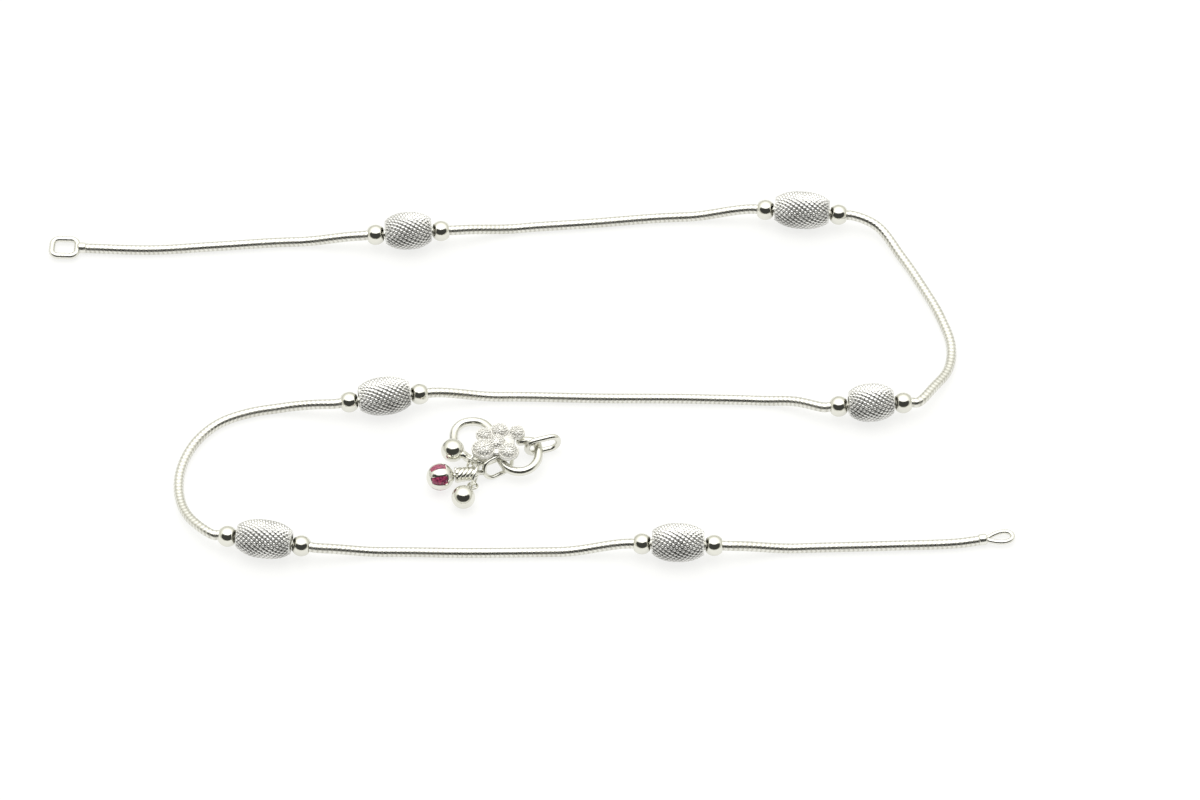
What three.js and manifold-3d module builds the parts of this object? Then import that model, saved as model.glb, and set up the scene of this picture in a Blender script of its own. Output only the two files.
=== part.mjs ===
import * as THREE from "three";
import { mergeVertices } from "three/addons/utils/BufferGeometryUtils.js";
import Module from "manifold-3d";

const wasm = await Module();
wasm.setup();

// Payal anklet in silver, laid open in an S on a surface: a round snake chain with six knurled
// barrel beads, each between two polished balls, a wire ring soldered on each end, and beside it the
// loose S hook with its cast flower, its link, and three bells, one of them on a twisted stem.
// Millimetres, +Z up, the surface at z = 0.

// The length of the S on plan, less the tips of its two end rings, and the hook's length
const LAID_LENGTH = 95;
const HOOK_LENGTH = 9.4;

// Chain
const CHAIN_RADIUS = 0.5;
const CHAIN_STEP = 1.8;
const CHAIN_SIDES = 12;
const CHAIN_FALL = 7.5; // the length over which the chain comes down from a bead to the surface

// Barrel beads and polished balls
const BEAD_RADIUS = 1.95;
const BEAD_LENGTH = 5.1;
const BEAD_BORE_RADIUS = 0.9;
const BEAD_BULGE = 1.12; // half the length of the ellipse of its outline, as a share of half its length
const BEAD_SIDES = 16;
const BEAD_SEAT_GAP = 0.1; // between the chain and the lower side of a bead's bore
const BALL_RADIUS = 1.05;
const BALL_BORE_CLEARANCE = 0.12;
const BALL_GAP = 0.1; // between a ball and the edge of a bead's bore
const BALL_SIDES = 12;
const STRAIGHT_LEAD = 0.75; // of straight chain beyond a ball's middle, and as much again to ease

// Soldered ends of the chain
const COLLAR_WALL = 0.06;
const COLLAR_LENGTH = 0.9;
const LEFT_RING_WIRE_RADIUS = 0.32;
const LEFT_RING_LENGTH = 3.2;
const LEFT_RING_WIDTH = 2.9;
const LEFT_RING_CORNER = 0.7; // of its wire's axis, which makes it boxy
const RIGHT_LOOP_WIRE_RADIUS = 0.25;
const RIGHT_LOOP_LENGTH = 3;
const RIGHT_LOOP_WIDTH = 1.8;
const TEARDROP_FULLNESS = 1.3; // makes the widest place of the teardrop as wide as the loop

// S hook and its flower
const HOOK_WIRE_RADIUS = 0.44;
const HOOK_SIDES = 10;
const TIP_SHARE = 0.98; // of the wire's radius in its rounded tip
const BOSS_RADIUS = 1.0;
const BOSS_HEIGHT = 0.85; // it lifts the petals clear of the loops below them
const PLATE_RADIUS = 1.7;
const PLATE_THICKNESS = 0.35;
const PETAL_RADIUS = 1.05;
const PETAL_RISE = 0.7; // of a dome above its plate, as a share of its radius
const PETAL_FOOT = 0.9; // of a dome's underside, as a share of its radius
const BOSS_FOOT = 1.45; // the height of the boss's foot, inside the wire

// Oval link on the hook
const LINK_WIRE_RADIUS = 0.3;
const LINK_LENGTH = 3.85;
const LINK_WIDTH = 2.4;

// Stem of twisted strands and the enamelled bell on its peg
const LOOP_LENGTH = 3.6;
const LOOP_WIDTH = 2.35;
const LOOP_WIRE_RADIUS = 0.23;
const STEM_RADIUS = 0.25;
const STEM_LEAD = 0.88; // from the loop to the first end of the strands, bare for a jump ring
const STRANDS = 5;
const TWIST_RADIUS = 0.8;
const TWIST_TAPER = 0.82; // of the first end of the strands, as a share of TWIST_RADIUS
const TWIST_GROOVE = 0.2; // the depth between two strands, as a share of TWIST_RADIUS
const TWIST_LENGTH = 2.1;
const TWIST_TURNS = -0.8;
const TWIST_END_GAP = 0.08; // from the strands' end to the bell, measured along the stem
const PEG_DEPTH = 1.0;
const PEG_CLEARANCE = 0.08;
const ENAMEL_BELL_RADIUS = 1.38;

// Plain bells and their jump rings; a ring's radius is that of its wire's axis
const BELL_RADIUS = 1.18;
const BELL_SIDES = 14;
const NECK_RADIUS = 0.34;
const NECK_LENGTH = 0.45;
const NECK_TAPER = 0.7; // of the neck's tip, as a share of its foot
const NECK_SINK = 0.15; // of the neck's foot into the bell, as a share of the bell's radius
const EYE_RADIUS = 0.44;
const EYE_WIRE_RADIUS = 0.14;
const RING_RADIUS = 1.1;
const RING_WIRE_RADIUS = 0.15;
const WIRE_SIDES = 6;

// The chain's route on the surface, from its left end to its right end, in shares of LAID_LENGTH. A row
// with a bead holds the bead's centre, its heading in degrees and its length as a share of BEAD_LENGTH.
const ROUTE = [
  { x: -0.5553, y: 0.2079 },
  { x: -0.4789, y: 0.2053 },
  { x: -0.4105, y: 0.2105 },
  { x: -0.3263, y: 0.2168 },
  { bead: 1, x: -0.2053, y: 0.2195, heading: 4.5, length: 0.92 },
  { x: -0.0895, y: 0.2358 },
  { x: -0.0105, y: 0.2432 },
  { x: 0.0737, y: 0.2516 },
  { bead: 2, x: 0.2168, y: 0.2489, heading: -5, length: 1.08 },
  { x: 0.2979, y: 0.2326 },
  { x: 0.3221, y: 0.1958 },
  { x: 0.3432, y: 0.1537 },
  { x: 0.3611, y: 0.1116 },
  { x: 0.3716, y: 0.0695 },
  { x: 0.3674, y: 0.0358 },
  { x: 0.3516, y: 0.0074 },
  { bead: 3, x: 0.2842, y: -0.0205, heading: 184, length: 0.88 },
  { x: 0.1958, y: -0.0089 },
  { x: 0.1053, y: -0.0032 },
  { x: 0, y: -0.0021 },
  { x: -0.1053, y: 0 },
  { bead: 4, x: -0.2263, y: -0.0116, heading: 188.5, length: 1 },
  { x: -0.3284, y: -0.0158 },
  { x: -0.3674, y: -0.0221 },
  { x: -0.4011, y: -0.0379 },
  { x: -0.4253, y: -0.0663 },
  { x: -0.4379, y: -0.1053 },
  { x: -0.4358, y: -0.1421 },
  { x: -0.4232, y: -0.1716 },
  { bead: 5, x: -0.3463, y: -0.2042, heading: -9.4, length: 1.06 },
  { x: -0.2284, y: -0.2095 },
  { x: -0.1368, y: -0.2105 },
  { x: -0.0526, y: -0.2095 },
  { bead: 6, x: 0.0805, y: -0.2089, heading: -1.6, length: 1 },
  { x: 0.1895, y: -0.2053 },
  { x: 0.3, y: -0.2011 },
  { x: 0.3684, y: -0.1979 },
  { x: 0.3963, y: -0.1932 },
];

// The clasp's middle, in shares of LAID_LENGTH
const CLASP_PLACE = { x: -0.1068, y: -0.0779 };

// The S hook's wire axis, from the tip that closes the left loop to the free tip of the right loop, in
// shares of HOOK_LENGTH from the clasp's middle. The left loop lies on the surface, and the right one is
// lifted by its link.
const HOOK_PATH = [
  { x: -0.0053, y: -0.1117, z: 0.1277 },
  { x: -0.1436, y: -0.1649, z: 0.117 },
  { x: -0.25, y: -0.1383, z: 0.1011 },
  { x: -0.3564, y: -0.0372, z: 0.0798 },
  { x: -0.4415, y: 0.0957, z: 0.0638 },
  { x: -0.4681, y: 0.2181, z: 0.0532 },
  { x: -0.4489, y: 0.3383, z: 0.0532 },
  { x: -0.3745, y: 0.4149, z: 0.0585 },
  { x: -0.2596, y: 0.4309, z: 0.0691 },
  { x: -0.1574, y: 0.3894, z: 0.0851 },
  { x: -0.0745, y: 0.2766, z: 0.1011 },
  { x: -0.0266, y: 0.0957, z: 0.117 },
  { x: 0.0213, y: -0.1064, z: 0.1277 },
  { x: 0.0798, y: -0.2287, z: 0.1277 },
  { x: 0.1649, y: -0.2926, z: 0.1277 },
  { x: 0.2606, y: -0.3032, z: 0.1298 },
  { x: 0.3511, y: -0.2606, z: 0.1319 },
  { x: 0.4202, y: -0.1543, z: 0.133 },
  { x: 0.4309, y: -0.0266, z: 0.133 },
  { x: 0.4074, y: 0.0798, z: 0.133 },
  { x: 0.3191, y: 0.1096, z: 0.133 },
  { x: 0.234, y: 0.1043, z: 0.133 },
];

// Each petal's place from the middle of the flower and its radius, in shares of PETAL_RADIUS
const PETALS = [
  { x: -1.295, y: -1.029, radius: 1.13 },
  { x: 1.048, y: -1.333, radius: 1.0 },
  { x: -1.257, y: 0.695, radius: 0.8 },
  { x: 0.162, y: 1.162, radius: 0.88 },
  { x: 1.829, y: 1.019, radius: 0.77 },
  { x: -0.048, y: -0.19, radius: 0.88 },
];

// Places on the clasp, in shares of HOOK_LENGTH, with angles in degrees, and a ring's size as a share
// of RING_RADIUS
const LINK_PLACE = { x: 0.4734, y: 0.0585, z: 0.133, turn: 17.4, tilt: 90 };
const LOOP_PLACE = { x: 0.0045, y: -0.2166, z: 0.1201, turn: 32, tilt: 64 };
const STEM_HEADING = 190.8;
const RING_PLACES = [
  { x: -0.2517, y: -0.1492, z: 0.1173, turn: 50, tilt: 94.8, size: 0.86 },
  { x: -0.2299, y: -0.366, z: 0.1313, turn: -106.8, tilt: 84, size: 1 },
];

// Each plain bell hangs from the middle of its eye, in plan towards a heading and rolled about its neck.
// Its centre lies at the height of its own radius and a lift, in shares of BELL_RADIUS, large where it
// leans on the hook.
const BELL_PLACES = [
  { x: -0.2798, y: -0.1926, z: 0.2011, heading: 150.7, roll: 40.7, lift: 0.71 },
  { x: -0.2582, y: -0.4585, z: 0.0798, heading: 243.2, roll: 90, lift: 0.02 },
];

// Where a barrel's outline has its corners, as shares of half its length from its middle
const BARREL_STATIONS = [1, 0.84, 0.64, 0.38, 0.1];

const silver = (roughness) => new THREE.MeshStandardMaterial({ color: 0xdddbd3, roughness, metalness: 1 });
const route = ROUTE.map((row) => ({ ...row, x: row.x * LAID_LENGTH, y: row.y * LAID_LENGTH }));
const BEADS = route.filter((row) => row.bead);
const onClasp = ({ x, y, z, ...turns }) => {
  return { x: x * HOOK_LENGTH, y: y * HOOK_LENGTH, z: z * HOOK_LENGTH, ...turns };
};
const BEAD_HEIGHT = BEAD_RADIUS * Math.cos(Math.PI / BEAD_SIDES);
const CHAIN_HEIGHT_IN_BEAD = BEAD_HEIGHT - (BEAD_BORE_RADIUS - CHAIN_RADIUS - BEAD_SEAT_GAP);
const BALL_BORE_RADIUS = CHAIN_RADIUS + BALL_BORE_CLEARANCE;
const BALL_SEAT = Math.sqrt((BALL_RADIUS + BALL_GAP) ** 2 - (CHAIN_RADIUS + BEAD_SEAT_GAP) ** 2);

// Joining
function solidOf(geometry) {
  const bare = geometry.index ? geometry.toNonIndexed() : geometry.clone();
  bare.deleteAttribute("normal");
  bare.deleteAttribute("uv");
  const merged = mergeVertices(bare, 1e-4);
  return new wasm.Manifold(
    new wasm.Mesh({
      numProp: 3,
      vertProperties: merged.attributes.position.array,
      triVerts: new Uint32Array(merged.index.array),
    }),
  );
}

function joined(geometries) {
  const mesh = geometries.map(solidOf).reduce((all, next) => all.add(next)).getMesh();
  const result = new THREE.BufferGeometry();
  result.setAttribute("position", new THREE.BufferAttribute(new Float32Array(mesh.vertProperties), 3));
  result.setIndex(new THREE.BufferAttribute(new Uint32Array(mesh.triVerts), 1));
  result.computeVertexNormals();
  return result;
}

function named(name, geometry, material) {
  const mesh = new THREE.Mesh(geometry, material);
  mesh.name = name;
  return mesh;
}

// Shapes that repeat
function sweep(path, radius, sides, steps) {
  const corners = Array.from({ length: sides }, (_, i) => {
    const angle = ((i + 0.5) / sides) * 2 * Math.PI;
    return new THREE.Vector2(radius * Math.cos(angle), radius * Math.sin(angle));
  });
  const options = { steps, extrudePath: path, bevelEnabled: false };
  return new THREE.ExtrudeGeometry(new THREE.Shape(corners), options);
}

// A turned piece with its axis along X, from a closed profile of [radius, place along X].
function turned(profile, sides) {
  const points = profile.map(([radius, along]) => new THREE.Vector2(radius, along));
  return new THREE.LatheGeometry(points, sides, Math.PI / sides).rotateZ(-Math.PI / 2);
}

// A wire ring in the XY plane whose outside is length by width. It is a torus of the corner's radius,
// or of the largest that fits, whose four quarters are moved apart.
function ovalRing(length, width, wireRadius, sides, quarterSteps, cornerRadius = Infinity) {
  const corner = Math.min(cornerRadius, Math.min(length, width) / 2 - wireRadius);
  const segments = 4 * quarterSteps;
  const ring = new THREE.TorusGeometry(corner, wireRadius, sides, segments).rotateZ(Math.PI / segments);
  const place = ring.attributes.position;
  const shiftX = length / 2 - wireRadius - corner;
  const shiftY = width / 2 - wireRadius - corner;
  for (let i = 0; i < place.count; i++) {
    place.setX(i, place.getX(i) + Math.sign(place.getX(i)) * shiftX);
    place.setY(i, place.getY(i) + Math.sign(place.getY(i)) * shiftY);
  }
  return ring;
}

function roundRing(radius, wireRadius, steps) {
  return new THREE.TorusGeometry(radius, wireRadius, WIRE_SIDES, steps);
}

// Chain: its plan is the route, and its height falls from each bead's to the surface.
function straightReach(bead) {
  return (bead.length * BEAD_LENGTH) / 2 + BALL_SEAT + STRAIGHT_LEAD;
}

function alongBead(bead, distance) {
  const turn = THREE.MathUtils.degToRad(bead.heading);
  return new THREE.Vector3(bead.x + distance * Math.cos(turn), bead.y + distance * Math.sin(turn), 0);
}

function routePoints() {
  return route.flatMap((row) => {
    if (!row.bead) return [new THREE.Vector3(row.x, row.y, 0)];
    const reach = straightReach(row);
    const lead = reach + STRAIGHT_LEAD;
    return [-lead, -reach, reach, lead].map((distance) => alongBead(row, distance));
  });
}

function chainHeight(point) {
  const shares = BEADS.map((bead) => {
    const gone = Math.hypot(point.x - bead.x, point.y - bead.y) - straightReach(bead);
    return (1 + Math.cos(Math.PI * THREE.MathUtils.clamp(gone / CHAIN_FALL, 0, 1))) / 2;
  });
  return THREE.MathUtils.lerp(CHAIN_RADIUS, CHAIN_HEIGHT_IN_BEAD, Math.max(...shares));
}

class ChainCurve extends THREE.Curve {
  plan = new THREE.CatmullRomCurve3(routePoints(), false, "centripetal");

  getPoint(t, target = new THREE.Vector3()) {
    this.plan.getPoint(t, target);
    return target.setZ(chainHeight(target));
  }
}

const chainCurve = new ChainCurve();
chainCurve.arcLengthDivisions = 2000;

// A piece placed at one end of the chain, with +X pointing away from the chain.
function atChainEnd(geometry, share) {
  const point = chainCurve.getPointAt(share);
  const tangent = chainCurve.getTangentAt(share).multiplyScalar(share ? 1 : -1);
  return geometry.rotateZ(Math.atan2(tangent.y, tangent.x)).translate(point.x, point.y, 0);
}

function collar() {
  const radius = CHAIN_RADIUS + COLLAR_WALL;
  const profile = [[0, -0.5], [1, -0.5], [1, 0.3], [0.6, 0.5], [0, 0.5]];
  return turned(profile.map(([share, along]) => [share * radius, along * COLLAR_LENGTH]), CHAIN_SIDES)
    .translate(0, 0, radius);
}

function leftRing() {
  const sizes = [LEFT_RING_LENGTH, LEFT_RING_WIDTH, LEFT_RING_WIRE_RADIUS];
  const ring = ovalRing(...sizes, WIRE_SIDES, 4, LEFT_RING_CORNER);
  const reach = COLLAR_LENGTH / 2 + LEFT_RING_LENGTH / 2 - LEFT_RING_WIRE_RADIUS;
  return ring.translate(reach, 0, CHAIN_RADIUS);
}

class Teardrop extends THREE.Curve {
  getPoint(t, target = new THREE.Vector3()) {
    const angle = 2 * Math.PI * t;
    const length = RIGHT_LOOP_LENGTH - RIGHT_LOOP_WIRE_RADIUS;
    const width = RIGHT_LOOP_WIDTH / 2 - RIGHT_LOOP_WIRE_RADIUS;
    const x = (length * (1 - Math.cos(angle))) / 2;
    const y = -width * Math.sin(angle) * Math.sin(angle / 2) * TEARDROP_FULLNESS;
    return target.set(x, y, 0);
  }
}

function rightLoop() {
  const loop = sweep(new Teardrop(), RIGHT_LOOP_WIRE_RADIUS, WIRE_SIDES, 20);
  return loop.translate(COLLAR_LENGTH / 2 - RIGHT_LOOP_WIRE_RADIUS, 0, CHAIN_RADIUS);
}

function chain() {
  const steps = Math.round(chainCurve.getLength() / CHAIN_STEP);
  const geometry = joined([
    sweep(chainCurve, CHAIN_RADIUS, CHAIN_SIDES, steps),
    atChainEnd(collar(), 0),
    atChainEnd(leftRing(), 0),
    atChainEnd(collar(), 1),
    atChainEnd(rightLoop(), 1),
  ]);
  return named("snake_chain", geometry, silver(0.2));
}

// Barrel beads with their two balls. A barrel's outline is an ellipse with its two tips cut off and a
// short straight belt in its middle, which it lies on.
function barrelRadius(share) {
  return BEAD_RADIUS * Math.sqrt(1 - ((share - BARREL_STATIONS.at(-1)) / BEAD_BULGE) ** 2);
}

function beadShape(length) {
  const half = length / 2;
  const side = BARREL_STATIONS.map((share) => [barrelRadius(share), -half * share]);
  const otherSide = side.map(([radius, along]) => [radius, -along]).reverse();
  const bore = BEAD_BORE_RADIUS;
  return turned([[bore, -half], ...side, ...otherSide, [bore, half], [bore, -half]], BEAD_SIDES);
}

function ballShape() {
  const start = Math.asin(BALL_BORE_RADIUS / BALL_RADIUS);
  const arcs = 8;
  const profile = Array.from({ length: arcs + 1 }, (_, i) => {
    const angle = THREE.MathUtils.lerp(start, Math.PI - start, i / arcs);
    return [BALL_RADIUS * Math.sin(angle), -BALL_RADIUS * Math.cos(angle)];
  });
  return turned([...profile, profile[0]], BALL_SIDES);
}

function beadGroup(bead) {
  const length = bead.length * BEAD_LENGTH;
  const group = new THREE.Group();
  const barrel = named(`bead_${bead.bead}`, beadShape(length), silver(0.35));
  barrel.position.z = BEAD_HEIGHT;
  group.add(barrel);
  // The route turns back for beads 3 and 4, so their left ball comes last along the chain.
  const backwards = Math.cos(THREE.MathUtils.degToRad(bead.heading)) < 0;
  for (const side of [-1, 1]) {
    const place = (side < 0) === backwards ? "right" : "left";
    const ball = named(`ball_${bead.bead}_${place}`, ballShape(), silver(0.08));
    ball.position.set(side * (length / 2 + BALL_SEAT), 0, CHAIN_HEIGHT_IN_BEAD);
    group.add(ball);
  }
  group.position.set(bead.x, bead.y, 0);
  group.rotation.z = THREE.MathUtils.degToRad(bead.heading);
  return group;
}

function disc(radius, height) {
  return new THREE.CylinderGeometry(radius, radius, height, 14)
    .rotateX(Math.PI / 2)
    .translate(0, 0, height / 2);
}

// A petal is a low dome with a flat underside, as high above it as the plate and most of its radius.
function dome(radius) {
  const arc = Array.from({ length: 6 }, (_, i) => {
    const angle = (i / 5) * (Math.PI / 2);
    const height = PLATE_THICKNESS + PETAL_RISE * radius * Math.sin(angle);
    return new THREE.Vector2(radius * Math.cos(angle), height);
  });
  arc.at(-1).x = 0;
  const outline = [new THREE.Vector2(0, 0), new THREE.Vector2(PETAL_FOOT * radius, 0), ...arc];
  return new THREE.LatheGeometry(outline, 11).rotateX(Math.PI / 2);
}

function hook() {
  const points = HOOK_PATH.map(onClasp).map(({ x, y, z }) => new THREE.Vector3(x, y, z));
  const wire = sweep(new THREE.CatmullRomCurve3(points), HOOK_WIRE_RADIUS, HOOK_SIDES, 44);
  const tip = points.at(-1);
  const roundTip = new THREE.SphereGeometry(HOOK_WIRE_RADIUS * TIP_SHARE, HOOK_SIDES, 6)
    .translate(tip.x, tip.y, tip.z);
  const top = BOSS_HEIGHT;
  const petals = PETALS.map(({ x, y, radius }) => {
    return dome(PETAL_RADIUS * radius).translate(PETAL_RADIUS * x, PETAL_RADIUS * y, top);
  });
  const flower = [disc(BOSS_RADIUS, top + PLATE_THICKNESS / 2), disc(PLATE_RADIUS, PLATE_THICKNESS)
    .translate(0, 0, top), ...petals];
  for (const piece of flower) piece.translate(0, 0, BOSS_FOOT);
  return named("clasp_hook", joined([wire, roundTip, ...flower]), silver(0.25));
}

// A ring's or a bell's place: its own XY plane is tilted about its long axis, then turned on plan.
function frameOf({ x, y, z, turn = 0, pitch = 0, tilt = 0 }) {
  const angles = [tilt, pitch, turn].map(THREE.MathUtils.degToRad);
  return new THREE.Matrix4().makeRotationFromEuler(new THREE.Euler(...angles, "ZYX")).setPosition(x, y, z);
}

function placed(name, geometry, frame, roughness) {
  const mesh = named(name, geometry, silver(roughness));
  frame.decompose(mesh.position, mesh.quaternion, mesh.scale);
  return mesh;
}

// Twisted strands as one solid: a drum along X with a groove between each two strands, turned more and
// more along its length.
function twist() {
  const drum = new THREE.CylinderGeometry(TWIST_RADIUS, TWIST_RADIUS, TWIST_LENGTH, 4 * STRANDS, 10)
    .rotateZ(Math.PI / 2)
    .translate(TWIST_LENGTH / 2, 0, 0);
  const place = drum.attributes.position;
  for (let i = 0; i < place.count; i++) {
    const angle = Math.atan2(place.getZ(i), place.getY(i));
    const share = place.getX(i) / TWIST_LENGTH;
    const groove = (TWIST_GROOVE * (1 - Math.cos(STRANDS * angle))) / 2;
    const taper = THREE.MathUtils.lerp(TWIST_TAPER, 1, share);
    const radius = Math.hypot(place.getY(i), place.getZ(i)) * taper * (1 - groove);
    const turned = angle + 2 * Math.PI * TWIST_TURNS * share;
    place.setY(i, radius * Math.cos(turned)).setZ(i, radius * Math.sin(turned));
  }
  return drum.translate(STEM_LEAD, 0, 0);
}

// The stem starts on its loop's left end and points at the centre of the enamelled bell.
const loopFrame = frameOf(onClasp(LOOP_PLACE));
const stemStart = new THREE.Vector3(LOOP_WIRE_RADIUS - LOOP_LENGTH / 2, 0, 0).applyMatrix4(loopFrame);
const stemReach = STEM_LEAD + TWIST_LENGTH + TWIST_END_GAP + ENAMEL_BELL_RADIUS;
const stemPitch = THREE.MathUtils.radToDeg(Math.asin((stemStart.z - ENAMEL_BELL_RADIUS) / stemReach));
const stemFrame = frameOf({ ...stemStart, turn: STEM_HEADING, pitch: stemPitch });

function stemShape() {
  const length = stemReach - ENAMEL_BELL_RADIUS + PEG_DEPTH;
  const core = new THREE.CylinderGeometry(STEM_RADIUS, STEM_RADIUS, length, 8)
    .rotateZ(Math.PI / 2)
    .translate(length / 2, 0, 0);
  const loop = ovalRing(LOOP_LENGTH, LOOP_WIDTH, LOOP_WIRE_RADIUS, WIRE_SIDES, 4).applyMatrix4(loopFrame);
  return joined([core, twist()].map((piece) => piece.applyMatrix4(stemFrame)).concat(loop));
}

// The enamelled bell is drilled half way for the stem's peg, and its centre is at its own origin.
function enamelBellShape() {
  const bore = STEM_RADIUS + PEG_CLEARANCE;
  const arc = Array.from({ length: 11 }, (_, i) => {
    const angle = THREE.MathUtils.lerp(Math.PI, Math.asin(bore / ENAMEL_BELL_RADIUS), i / 10);
    return [Math.abs(ENAMEL_BELL_RADIUS * Math.sin(angle)), ENAMEL_BELL_RADIUS * Math.cos(angle)];
  });
  const floor = ENAMEL_BELL_RADIUS - PEG_DEPTH - PEG_CLEARANCE;
  arc[0][0] = 0;
  return turned([...arc, [bore, floor], [0, floor]], BELL_SIDES).rotateZ(Math.PI);
}

// A plain bell with its centre at the origin and its neck and eye along +X.
function bellShape() {
  const ball = new THREE.SphereGeometry(BELL_RADIUS, BELL_SIDES, 10).rotateZ(-Math.PI / 2);
  const neckRoot = (1 - NECK_SINK) * BELL_RADIUS;
  const neckTip = BELL_RADIUS + NECK_LENGTH;
  const neck = new THREE.CylinderGeometry(NECK_TAPER * NECK_RADIUS, NECK_RADIUS, neckTip - neckRoot, 10)
    .rotateZ(-Math.PI / 2)
    .translate((neckRoot + neckTip) / 2, 0, 0);
  const eye = roundRing(EYE_RADIUS, EYE_WIRE_RADIUS, 12)
    .rotateX(Math.PI / 2)
    .translate(neckTip + EYE_RADIUS, 0, 0);
  return joined([ball, neck, eye]);
}

function hangingBell(name, share) {
  const place = onClasp(share);
  const reach = BELL_RADIUS + NECK_LENGTH + EYE_RADIUS;
  const drop = place.z - BELL_RADIUS * (1 + place.lift);
  const heading = THREE.MathUtils.degToRad(place.heading);
  const across = Math.sqrt(reach ** 2 - drop ** 2);
  const centre = {
    x: place.x + across * Math.cos(heading),
    y: place.y + across * Math.sin(heading),
    z: place.z - drop,
  };
  const pitch = -THREE.MathUtils.radToDeg(Math.asin(drop / reach));
  const frame = frameOf({ ...centre, turn: place.heading + 180, pitch, tilt: place.roll });
  return placed(name, bellShape(), frame, 0.08);
}

function clasp() {
  const group = new THREE.Group();
  const enamelCentre = new THREE.Vector3(stemReach, 0, 0).applyMatrix4(stemFrame);
  const link = ovalRing(LINK_LENGTH, LINK_WIDTH, LINK_WIRE_RADIUS, WIRE_SIDES, 4);
  const [ring1, ring3] = RING_PLACES.map((row, i) => {
    const ring = roundRing(row.size * RING_RADIUS, RING_WIRE_RADIUS, 14);
    return placed(`bell_ring_${2 * i + 1}`, ring, frameOf(onClasp(row)), 0.2);
  });
  group.add(
    hook(),
    placed("hook_link", link, frameOf(onClasp(LINK_PLACE)), 0.2),
    named("bell_stem", stemShape(), silver(0.25)),
    placed("bell_2", enamelBellShape(), stemFrame.clone().setPosition(enamelCentre), 0.1),
    hangingBell("bell_1", BELL_PLACES[0]),
    hangingBell("bell_3", BELL_PLACES[1]),
    ring1,
    ring3,
  );
  group.position.set(CLASP_PLACE.x * LAID_LENGTH, CLASP_PLACE.y * LAID_LENGTH, 0);
  return group;
}

const laid = new THREE.Group();
laid.add(chain(), ...BEADS.map(beadGroup), clasp());
const middle = new THREE.Box3().setFromObject(laid, true).getCenter(new THREE.Vector3());
laid.position.set(-middle.x, -middle.y, 0);
const anklet = new THREE.Group();
anklet.add(laid);

export default anklet;
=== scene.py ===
# %% [markdown]
# # A silver payal anklet
# A payal is an Indian anklet. This one lies open in an S on a white table: a snake chain with six
# knurled barrel beads, each between two polished balls, and beside it the loose S hook with its
# cast flower, its link and its three bells.
#
# The solids come from the part's own model. They could be shown as they are, with a material on
# each, but they are coarse and leave out what is finer than a facet. So each new piece here stands
# for one of them, keeps its place and size, and shows the detail that a silversmith looks for.

# %% Frame
import math

import bmesh
import bpy
from mathutils import Matrix, Vector, noise
from mathutils.geometry import interpolate_bezier


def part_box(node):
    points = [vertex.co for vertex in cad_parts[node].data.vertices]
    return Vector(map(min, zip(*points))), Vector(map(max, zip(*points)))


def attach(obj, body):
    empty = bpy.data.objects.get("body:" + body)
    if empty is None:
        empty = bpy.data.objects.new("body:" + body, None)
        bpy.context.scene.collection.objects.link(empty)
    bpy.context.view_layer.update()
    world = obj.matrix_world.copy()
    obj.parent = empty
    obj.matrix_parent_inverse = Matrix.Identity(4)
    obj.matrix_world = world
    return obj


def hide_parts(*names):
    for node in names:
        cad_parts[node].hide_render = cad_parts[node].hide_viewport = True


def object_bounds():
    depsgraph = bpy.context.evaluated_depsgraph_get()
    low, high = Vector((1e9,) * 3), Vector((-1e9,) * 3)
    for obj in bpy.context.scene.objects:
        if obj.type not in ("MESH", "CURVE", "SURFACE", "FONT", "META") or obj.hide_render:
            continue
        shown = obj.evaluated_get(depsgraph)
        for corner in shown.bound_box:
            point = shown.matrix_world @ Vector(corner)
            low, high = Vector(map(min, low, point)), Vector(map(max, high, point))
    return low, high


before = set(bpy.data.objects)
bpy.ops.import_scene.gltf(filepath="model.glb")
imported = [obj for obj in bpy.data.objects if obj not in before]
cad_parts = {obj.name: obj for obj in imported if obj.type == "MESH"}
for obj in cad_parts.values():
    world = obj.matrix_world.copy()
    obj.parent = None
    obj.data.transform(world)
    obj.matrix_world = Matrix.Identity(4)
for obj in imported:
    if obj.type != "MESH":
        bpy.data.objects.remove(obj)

cad_low, cad_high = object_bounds()
scene = bpy.context.scene
sides_mm = [round(1000 * side, 1) for side in cad_high - cad_low]
print("solids", len(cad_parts), "box in mm", sides_mm)

# %% [markdown]
# ## Layout
# All sizes are in millimetres, as on a jeweller's bench, and a piece is scaled to metres when it is
# finished. A bead's place could be read from its solid, but its heading couldn't, so the layout on
# the table is written down here. The frame has its origin in the middle of the anklet's box, so
# the first bead's solid tells how far the layout is moved.

# %% Sizes and places
MM = 0.001
BEADS = {  # centre x, y, heading in degrees, length
    1: (-19.5, 20.85, 4.5, 4.692),
    2: (20.6, 23.65, -5.0, 5.508),
    3: (27.0, -1.95, 184.0, 4.488),
    4: (-21.5, -1.1, 188.5, 5.1),
    5: (-32.9, -19.4, -9.4, 5.406),
    6: (7.65, -19.85, -1.6, 5.1),
}
BARREL_RADIUS = 1.95
SOLID_SIDES = 16  # a barrel's solid lies on one of its flat sides
BEAD_HEIGHT = BARREL_RADIUS * math.cos(math.pi / SOLID_SIDES)
CHAIN_RADIUS = 0.5
CHAIN_DROP = 0.3  # how far the chain lies below the axis of a barrel, whose bore is wider
CHAIN_HEIGHT_IN_BEAD = BEAD_HEIGHT - CHAIN_DROP
BALL_RADIUS = 1.05
BALL_SEAT = 0.981  # from a barrel's end to the middle of its ball

first_low, first_high = (Vector(corner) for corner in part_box("bead_1"))
SHIFT = (first_low + first_high) / 2 / MM - Vector((*BEADS[1][:2], 0))
SHIFT.z = 0
print("layout moved by", [round(part, 3) for part in SHIFT])

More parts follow.
